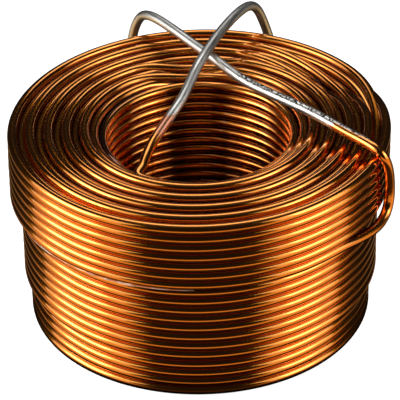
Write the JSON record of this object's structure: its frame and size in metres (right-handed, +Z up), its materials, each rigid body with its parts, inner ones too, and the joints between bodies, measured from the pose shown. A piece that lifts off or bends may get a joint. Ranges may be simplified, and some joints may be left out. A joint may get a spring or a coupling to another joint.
{
  "type": "air core inductor",
  "caption": "Round air core coil of enamelled copper wire, a bonded winding stepped on the outside, with two tinned leads that cross over the open bore.",
  "frame": {"origin": "on the bore's axis, in the plane that the winding's lowest turns rest on", "axes": "+Z up along the bore's axis, +X to the picture's right, where the finish lead climbs the side, and +Y towards the back, where both lead tips point down"},
  "size_m": [0.0409, 0.0421, 0.0267],
  "materials": {
    "enamelled_copper": "round copper magnet wire under a clear amber enamel; its stripped lead ends are tinned silver-grey"
  },
  "bodies": {
    "root": {"wound_wire": "enamelled_copper"}
  },
  "joints": []
}
